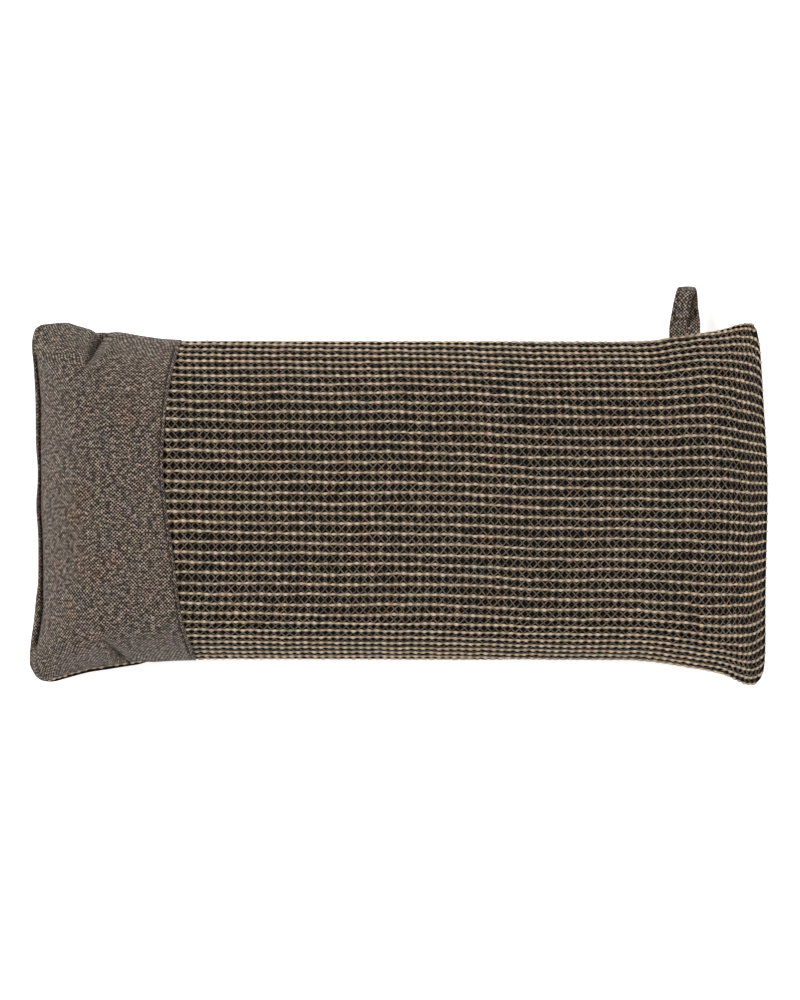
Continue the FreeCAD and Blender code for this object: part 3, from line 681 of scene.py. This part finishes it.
def weave_waffle(cloth, name, kept, stations, sides, steps, seed):
    """The yarns of one side: the rows and the doubled threads that zigzag across them from pinch to pinch.

    kept gives the b places and the a from which the yarns run there. Yarn has sides and stations per cell,
    and ground threads have steps from row to row.
    """
    rows = [Pile(), Pile()]
    for row in ROWS:
        start = float(np.interp(row * ROW_PITCH, *kept))
        add_weft_row(rows[row % 2], cloth, row, start, stations, sides, seed)
    pieces = [pile.put(f"{name}_weft_{part}", WEFT, "waffle_cloth") for pile, part in zip(rows, "ab")]

    generator = np.random.default_rng([seed, 7])
    last = math.floor((cloth.half_length - 0.4) / CELL_PITCH)
    jitter = generator.uniform(-UNEVEN_KNOTS, UNEVEN_KNOTS, (2 * last + 2, len(ROWS)))
    threads = [Pile(), Pile()]
    for cell in range(-last, last):
        for way in (0, 1):
            odd = (np.arange(len(ROWS)) + way) % 2
            middles = (odd + cell) * CELL_PITCH + jitter[odd + cell + last, np.arange(len(ROWS))]
            for strand, radius, tone in STRANDS:
                knots_a = middles + STRAND_ASIDE * strand * (1 - 2 * odd)
                tones = tone + generator.uniform(-UNEVEN_TONES, UNEVEN_TONES, len(ROWS))
                level = CROSSING_LEVEL + WAY_STEP * way - STRAND_STEP * strand
                add_ground_thread(threads[way], cloth, knots_a, kept, level, radius, tones, steps, 4)
    return pieces + [pile.put(f"{name}_ground_threads_{part}", GROUND_THREAD, "waffle_cloth")
                     for pile, part in zip(threads, "ab")]


def ground_sheet(side, name, start_u):
    """The dark ground of the waffle behind its open threads, as a thin closed sheet."""
    end_u = 1 - 2 * GROUND_INSET / LENGTH
    v = np.linspace(-1, 1, len(start_u))[:, None] * (1 - GROUND_INSET / cover_high[1])
    u = start_u[:, None] + (end_u - start_u[:, None]) * np.linspace(0, 1, 220)
    steepness = 1 / np.clip(np.abs(lifted(side, u, v)[1][..., 2]), 0.45, 1)
    outer, inner = (surface(side, u, v, -level * steepness) for level in (GROUND_LEVEL, INNER_LEVEL))
    if side == BACK:
        outer, inner = outer[:, ::-1], inner[:, ::-1]
    return put(name, *closed_sheet(outer[::-1], inner[::-1]), GROUND, "waffle_cloth")


join_v = np.linspace(-1, 1, 130)
join_b = np.linspace(-front.half_width, front.half_width, 60)
front_kept = (join_b, join_a(join_b) - YARN_LAP)
back_kept = (join_b, np.full_like(join_b, EDGE_GAP - back.half_length))

front_ground = ground_sheet(FRONT, "front_waffle", join_u(join_v) - 2 * LAP / LENGTH)
front_yarns = weave_waffle(front, "front_waffle", front_kept, stations=8, sides=6, steps=5, seed=11)
back_ground = ground_sheet(BACK, "back_waffle", np.full_like(join_v, 2 * GROUND_INSET / LENGTH - 1))
back_yarns = weave_waffle(back, "back_waffle", back_kept, stations=6, sides=4, steps=3, seed=12)
stand_in(front_ground, "cover", "front_waffle_panel")
stand_in(back_ground, "cover", "back_waffle_panel")
for piece in [*front_yarns, *back_yarns]:
    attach(piece, "cover")

# ---- the band

# The band's height over the waffle's tops, its thickness, its middle's cloth place and its length unsewn;
# then its relief behind the folded edge.
BAND_LEVEL, BAND_THICKNESS, BAND_MIDDLE, BAND_LENGTH = 0.25, 0.8, -95.0, 58.0
FOLD_DISTANCE = [0.0, 0.10, 0.25, 0.5, 0.75, 0.95, 1.10, 1.30, 1.8, 3.0]
FOLD_HEIGHT = [-0.9, 0.20, 0.48, 0.60, 0.42, -0.05, -0.20, 0.02, 0.36, BAND_LEVEL]


def evened(values, reach):
    """A grid of values evened out over reach rows to each side."""
    window = np.hanning(2 * reach + 3)[1:-1]
    padded = np.pad(values, ((reach, reach), (0, 0)), mode="edge")
    return np.apply_along_axis(np.convolve, 0, padded, window / window.sum(), mode="valid")


def make_band():
    """The plain band: its outer edge is sewn shut and its inner edge folded under and sewn down."""
    b = np.linspace(front.half_width, -front.half_width, 190)
    v = front.places(BAND_MIDDLE, b)[1][:, None]
    reach = (join_u(v[:, 0])[:, None] + 1) / 2 * LENGTH
    from_closed = np.concatenate([[0, 0.04, 0.12], np.arange(0.25, 4, 0.17), np.arange(4, 8, 0.4)])
    from_fold = np.concatenate([np.arange(2.4, 0.3, -0.15), [0.22, 0.15, 0.1, 0.05, 0.0]])
    first, last = from_closed[-1] + 0.6, reach - from_fold[0] - 0.2
    between = first + (last - first) * np.linspace(0, 1, 60)[1:-1][None]
    place = np.hstack([np.broadcast_to(from_closed, (len(b), len(from_closed))), between, reach - from_fold])
    u = place / LENGTH * 2 - 1
    level = np.interp(reach - place, FOLD_DISTANCE, FOLD_HEIGHT) - BAND_LEVEL * np.exp(-place / 2)
    level = level * np.clip((front.half_width - np.abs(b)) / 3, 0.1, 1)[:, None]
    outer = lifted(FRONT, u, v, level)[0]
    inner = lifted(FRONT, u, v, level - BAND_THICKNESS)[0]
    along_rows, across = evened(run_lengths(outer, 1), reach=18), run_lengths(outer, 0)
    uv = np.stack([along_rows, across - across[len(b) // 2]], axis=-1)
    return put("band_cloth", *closed_sheet(outer, inner), CHAMBRAY, "chambray", uv)


band = make_band()
stand_in(band, "cover", "front_end_band")

# ---- stitches

STITCH_DIVE, STITCH_TONE = 0.35, 0.55


def upright(count, sign=1):
    """Normals that point straight up, or down if the sign is negative."""
    return np.tile((0.0, 0.0, float(sign)), (count, 1))


def sew(name, rows, length=2.4, gap=0.8, radius=0.17, rise=0.1, material=THREAD, slot="sewing_thread"):
    """Stitches end to end along rows of points, given with their normals.

    Each stitch stands rise off its row and dives into it at its ends.
    """
    pile = Pile()
    share = np.linspace(0, 1, 8)
    arch = np.sin(share * pi) ** 0.5
    height = (rise * arch - STITCH_DIVE * (1 - arch))[:, None]
    thickness = radius * (0.7 + 0.3 * arch)
    for line, normals in rows:
        reached = run_lengths(line)
        for start in np.arange(gap, reached[-1] - length, length + gap):
            place = start + share * length
            centres, outward = (np.column_stack([np.interp(place, reached, part) for part in given.T])
                                for given in (line, normals))
            outward = unit(outward)
            pile.add_tube(centres + outward * height, outward, thickness, thickness, STITCH_TONE, sides=8)
    return pile.put(name, material, slot)


def make_join_topstitch():
    """The row just behind the band's folded edge."""
    v = np.linspace(-0.965, 0.965, 200)
    place = (join_u(v) + 1) / 2 * LENGTH - 1.05
    return sew("join_stitches", [lifted(FRONT, place / LENGTH * 2 - 1, v, 0.05)], length=2.3, rise=0.12)


def make_closing_stitch():
    """The row that shuts the closed end, on both sides."""
    v = np.linspace(-0.86, 0.84, 300)
    y = plan(np.full_like(v, -1.0), v)[:, 1]
    u = np.interp(y, CLOSING_Y, CLOSING_IN) / LENGTH * 2 - 1
    rows = [(surface(side, u, v), upright(len(v), side)) for side in (FRONT, BACK)]
    return sew("closing_stitches", rows, rise=0.15)


def make_perimeter_stitch():
    """The seam's own stitches, inside the cover along its two long sides and the loop end."""
    share = np.linspace(-0.97, 0.965, 500)
    ends = np.linspace(-0.93, 0.93, 200)
    inset = 3.4
    edges = [plan(share, -np.ones_like(share)) + (0, inset), plan(np.ones_like(ends), ends) - (inset, 0),
             plan(share[::-1], np.ones_like(share)) - (0, inset)]
    rows = [(np.column_stack([edge, np.full(len(edge), SEAM + 0.55 * side)]), upright(len(edge), side))
            for side in (BACK, FRONT) for edge in edges]
    return sew("seam_stitches", rows, radius=0.2)


stand_in(make_join_topstitch(), "cover", "band_join_topstitch")
stand_in(make_closing_stitch(), "cover", "closing_edge_stitch")
stand_in(make_perimeter_stitch(), "cover", "perimeter_lockstitch")

# ---- the hanging loop

STRAP_HALF_WIDTH, STRAP_HALF_THICKNESS = 2.62, 0.5
# How far the loop stands out, half its depth and its feet's spread; how far aside its end and back lie.
LOOP_HEIGHT, LOOP_HALF_DEPTH, LOOP_SPREAD = 12.25, 4.2, 2.2
END_ASIDE, BACK_ASIDE, TAIL_LENGTH = 0.65, 0.35, 9.0
# How far the back strand is turned about its length, in radians.
BACK_LEAN = 0.6
# Where across the strap its edge is stitched, and the ditch that the stitches draw in.
EDGE_STITCH, DITCH_DEPTH, DITCH_HALF_WIDTH = -1.5, 0.40, 0.36


def strap_line(turns):
    """The strap's middle at turns from 0, at its front foot, to 1, at its back foot."""
    phi = tau * turns
    out = LOOP_HEIGHT * (1 - np.cos(phi)) / 2
    depth = LOOP_HALF_DEPTH * np.sin(phi) * np.sin(phi / 2) + 1.1 * STRAP_HALF_THICKNESS * np.cos(phi / 2)
    aside = -LOOP_SPREAD * np.cos(phi / 2) + END_ASIDE * np.sin(phi / 2) ** 3
    aside = aside + BACK_ASIDE * np.clip(-np.sin(phi), 0, 1)
    return HINGE + np.column_stack([aside, out, depth])


def strap_frame():
    """The line of the strap from tail to tail, with its width's direction and its outward normals."""
    loop = strap_line(np.linspace(0.004, 0.996, 90))
    inward = np.linspace(TAIL_LENGTH, 0.3, 24)[:, None]
    closer = inward * (0, -1, 0) - 0.5 * np.clip(inward / 2.0, 0, 1) * (0, 0, 1)
    line = np.vstack([loop[0] + closer, loop, (loop[-1] + closer * (1, 1, -1))[::-1]])
    tangents = np.gradient(line, axis=0)
    tangents[:, 0] *= 0.3
    tangents = unit(tangents)
    for _ in range(3):
        tangents[1:-1] = unit(tangents[:-2] + tangents[1:-1] + tangents[2:])
    width = unit(np.array((1.0, 0.0, 0.0)) - tangents * tangents[:, :1])
    outward = np.cross(width, tangents)
    out, below = (line[:, 1] - HINGE[1]) / LOOP_HEIGHT, HINGE[2] - line[:, 2]
    lean = BACK_LEAN * np.sin(pi * np.clip(out, 0, 1)) * np.clip(below / 2, 0, 1)
    sine, cosine = np.sin(lean)[:, None], np.cos(lean)[:, None]
    return line, width * cosine - outward * sine, outward * cosine + width * sine


def make_strap():
    """The folded strap, from one tail inside the seam, round the loop, to the other tail."""
    line, width, outward = strap_frame()
    across = np.sin(np.linspace(-1, 1, 31) * pi / 2)
    flat = STRAP_HALF_WIDTH * across
    tall = STRAP_HALF_THICKNESS * (1 - np.abs(across) ** 5) ** 0.5
    tall = tall - DITCH_DEPTH * np.exp(-((flat - EDGE_STITCH) / DITCH_HALF_WIDTH) ** 2)
    pressed = np.clip(1 - (HINGE[1] - line[:, 1]) / 6, 0.6, 1)
    spread = line[:, None] + width[:, None] * flat[:, None]
    thickness = outward[:, None] * (pressed[:, None] * tall)[..., None]
    upper, lower = spread + thickness, spread - thickness
    ring = np.concatenate([upper, lower[:, -2:0:-1]], axis=1)
    stations, sides = ring.shape[:2]
    index = np.arange(stations * sides).reshape(stations, sides)
    following = np.roll(index, -1, axis=1)
    walls = np.stack([index[:-1], index[1:], following[1:], following[:-1]], axis=-1).reshape(-1, 4)
    caps = []
    for end, step in ((index[0], 1), (index[-1], -1)):
        for place in range(1, sides // 2 - 1):
            caps.append([end[place], end[place + 1], end[-place - 1], end[-place]][::step])
    reached = run_lengths(line)
    round_places = np.concatenate([flat, 2 * STRAP_HALF_WIDTH - flat[-2:0:-1]])
    uv = np.stack(np.broadcast_arrays(reached[:, None], round_places), axis=-1)
    return put("strap", ring.reshape(-1, 3), np.vstack([walls, np.array(caps)]), CHAMBRAY, "chambray", uv)


def make_loop_stitch():
    """The stitches along the loop's edge."""
    line, width, outward = strap_frame()
    shown = slice(34, -40)
    sewn = line + width * EDGE_STITCH + outward * (STRAP_HALF_THICKNESS - 0.25)
    return sew("strap_stitches", [(sewn[shown], outward[shown])], length=1.7, gap=0.4, rise=0.06)


def make_bartack():
    """The dense stitches across the strap's tails, inside the seam."""
    rows = [(HINGE + np.array([(x, -8.4, 1.15), (x, -7.2, 1.2), (x, -6.0, 1.15)]), upright(3))
            for x in np.linspace(-3.9, 3.9, 16)]
    return sew("bartack", rows, length=2.2, gap=0.1, radius=0.2)


strap = make_strap()
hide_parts("hanging_loop", "loop_tails")
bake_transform(strap)
stand_in(make_loop_stitch(), "loop", "loop_edge_stitch")
stand_in(make_bartack(), "cover", "loop_bartack")

# ---- the inner bag, the seed and the buds

bag_high, bag_back_low = box("inner_bag_front")[1], box("inner_bag_back")[0]
fill_low, fill_high = box("flaxseed_fill")
# How far in from their edges the bag and the seed are full; then how far in the bag's stitches run, and what
# its sheets lose to the seam.
BAG_RUN, FILL_RUN, BAG_GATHERS = 20.0, 14.0, 1.4
BAG_THICKNESS, BAG_SEAM, BAG_ALLOWANCE = 0.5, 2.0, 9.0


def bag_point(side, u, v, inset=0.0, drop=0.0):
    """The inner bag's outside: a plain oblong with gathered edges; inset and drop lie inside it."""
    half_x, half_y = bag_high[0] - inset, bag_high[1] - inset
    x, y = u * half_x, v * half_y
    full = (bag_high[2] - SEAM if side == FRONT else SEAM - bag_back_low[2]) - drop
    from_ends, from_sides = half_x - np.abs(x), half_y - np.abs(y)
    height = full * swell(from_ends, BAG_RUN) * swell(from_sides, BAG_RUN)
    height = height + BAG_GATHERS * (gathers(x, from_sides, 61 + side) + gathers(y, from_ends, 71 + side))
    return np.stack([x, y, SEAM + side * np.maximum(height, 0.0)], axis=-1)


def make_bag(side, name):
    """One half of the inner bag, just clear of the other."""
    u, v = np.meshgrid(np.linspace(-1, 1, 150) * side, np.linspace(1, -1, 70))
    outer, inner = bag_point(side, u, v), bag_point(side, u, v, BAG_THICKNESS, BAG_THICKNESS)
    outer[..., 2] += side * 0.15
    inner[..., 2] += side * 0.02
    uv = np.stack([u, v], axis=-1) * bag_high[:2]
    return put(name, *closed_sheet(outer, inner), LINING, "lining_cotton", uv)


for side, name in ((FRONT, "front"), (BACK, "back")):
    piece = make_bag(side, f"bag_{name}_cloth")
    stand_in(piece, "cover", f"inner_bag_{name}")


def make_bag_seam():
    """The row of stitches round the inner bag, on both of its sides."""
    x, y = bag_high[:2] - BAG_SEAM
    corners = np.array([(-x, -y), (x, -y), (x, y), (-x, y), (-x, -y)])
    reached = run_lengths(corners)
    even = np.linspace(0, reached[-1], 900)
    u, v = (np.interp(even, reached, corners[:, axis]) / bag_high[axis] for axis in (0, 1))
    rows = [(bag_point(side, u, v), upright(len(u), side)) for side in (FRONT, BACK)]
    return sew("bag_stitches", rows, 1.9, 0.6, 0.14, 0.2, material=LINING_THREAD, slot="lining_thread")


stand_in(make_bag_seam(), "cover", "inner_bag_seam")

SEED = mottled_material("flaxseed", (0.10, 0.045, 0.02), (0.34, 0.17, 0.07), 2.2, 0.15, 0.35)
BUD = mottled_material("lavender", (0.09, 0.08, 0.14), (0.36, 0.31, 0.50), 0.8, 0.25)
# A seed's size, relief and slimness, and how many seeds on the pattern repeats.
SEED_SIZE, SEED_RELIEF, SEED_ASPECT, REPEAT = 3.4, 0.8, 1.3, 256
BUD_COUNT, BUD_LENGTH, BUD_GIRTH = 32, 4.0, 0.75


def grain(x, y, size, seed):
    """Seeds side by side, as a height from 0 between them to 1 on their backs."""
    shifts = np.random.default_rng(seed).uniform(0.15, 0.85, (REPEAT, REPEAT, 2))
    column, row = np.floor(x / size).astype(int), np.floor(y / size).astype(int)
    nearest = np.full(x.shape, 9.0)
    for step_x in (-1, 0, 1):
        for step_y in (-1, 0, 1):
            i, j = column + step_x, row + step_y
            shift = shifts[i % REPEAT, j % REPEAT]
            away = np.hypot(x - (i + shift[..., 0]) * size, (y - (j + shift[..., 1]) * size) * SEED_ASPECT)
            nearest = np.minimum(nearest, away / size)
    return 1 - np.clip(nearest, 0, 1) ** 2


def make_fill():
    """The settled seed: a full, level mass with single seeds standing on its surface."""
    u, v = np.meshgrid(np.linspace(-1, 1, 240), np.linspace(1, -1, 110))
    x, y = u * fill_high[0], v * fill_high[1]
    run_in = swell(fill_high[0] - np.abs(x), FILL_RUN) * swell(fill_high[1] - np.abs(y), FILL_RUN)
    seeds = SEED_RELIEF * grain(x, y, SEED_SIZE, 81) * np.clip(run_in * 4, 0, 1)
    room, edge = SEED_RELIEF + 0.1, 0.05
    upper = np.stack([x, y, SEAM + edge + (fill_high[2] - SEAM - room) * run_in + seeds], axis=-1)
    lower = np.stack([x, y, SEAM - edge - (SEAM - fill_low[2] - room) * run_in - seeds], axis=-1)
    return put("seed_mass", *closed_sheet(upper, lower), SEED, "flaxseed")


def make_buds():
    """Ribbed dried buds lying on the seed."""
    golden = pi * (3 - math.sqrt(5))
    low, high = box("lavender_buds")
    pile = Pile()
    share = np.linspace(0.02, 0.98, 11)
    for index in range(BUD_COUNT):
        spread = math.sqrt((index + 0.5) / BUD_COUNT)
        turn, heading = index * golden, math.radians(137.5 * index)
        middle = np.array(((high[0] - 4) * spread * math.cos(turn), (high[1] - 4) * spread * math.sin(turn),
                           low[2] + 1.3))
        direction = np.array((math.cos(heading), math.sin(heading), 0.0))
        centres = middle + direction * (share[:, None] - 0.5) * BUD_LENGTH
        centres[:, 2] += 0.3 * np.sin(share * pi)
        ribs = 1 + 0.12 * np.cos(share * 40)
        girth = BUD_GIRTH * np.sin(share * pi) ** 0.6 * ribs
        pile.add_tube(centres, upright(len(share)), girth, girth, tone=0.5, sides=10)
    return pile.put("buds", BUD, "lavender")


fill = make_fill()
stand_in(fill, "cover", "flaxseed_fill")
stand_in(make_buds(), "cover", "lavender_buds")

# ---- floor, light and camera

def make_floor():
    """A plain pale floor."""
    material, tree, shader, place = new_material("studio_floor")
    pale = ramp(tree, noise(tree, place, 400.0), [(0.3, (0.90, 0.90, 0.90)), (0.7, (0.93, 0.93, 0.93))])
    tree.links.new(pale, shader.inputs["Base Color"])
    shader.inputs["Roughness"].default_value = 0.9
    shader.inputs["Emission Color"].default_value = (1, 1, 1, 1)
    shader.inputs["Emission Strength"].default_value = 0.6
    bpy.ops.mesh.primitive_grid_add(x_subdivisions=8, y_subdivisions=8, size=6.0, location=(0, 0, 0))
    floor = bpy.context.active_object
    floor.name = "studio_floor"
    floor.data.materials.append(material)


def add_area_light(name, place, size, watts):
    """A soft light that faces the pillow; its place is in metres."""
    data = bpy.data.lights.new(name, "AREA")
    data.size = size
    data.energy = watts
    light = new_object(name, data)
    light.location = place
    light.rotation_euler = (-Vector(place)).to_track_quat("-Z", "Y").to_euler()


def light_room():
    """Plain soft studio light."""
    world = bpy.data.worlds.new("studio")
    world.use_nodes = True
    background = world.node_tree.nodes["Background"]
    background.inputs["Color"].default_value = (1, 1, 1, 1)
    background.inputs["Strength"].default_value = 0.22
    bpy.context.scene.world = world
    add_area_light("key", (-0.75, 0.30, 1.1), size=0.5, watts=14)
    add_area_light("fill", (0.95, -0.2, 0.8), size=0.7, watts=8.5)
    bpy.context.scene.view_settings.view_transform = "Standard"


# The camera looks straight down, just aside of the middle; its view is this tall at the seam.
VIEW_HEIGHT, CAMERA_HEIGHT, CAMERA_ASIDE = 310.0, 1450.0, (0.15, 0.3)


def add_camera():
    data = bpy.data.cameras.new("camera")
    data.sensor_fit = "VERTICAL"
    data.angle = 2 * math.atan(VIEW_HEIGHT / 2 / (CAMERA_HEIGHT - SEAM))
    data.clip_end = 20
    camera = new_object("camera", data)
    camera.location = np.array((MIDDLE + CAMERA_ASIDE[0], CAMERA_ASIDE[1], CAMERA_HEIGHT)) * MM
    bpy.context.scene.camera = camera


make_floor()
light_room()
add_camera()
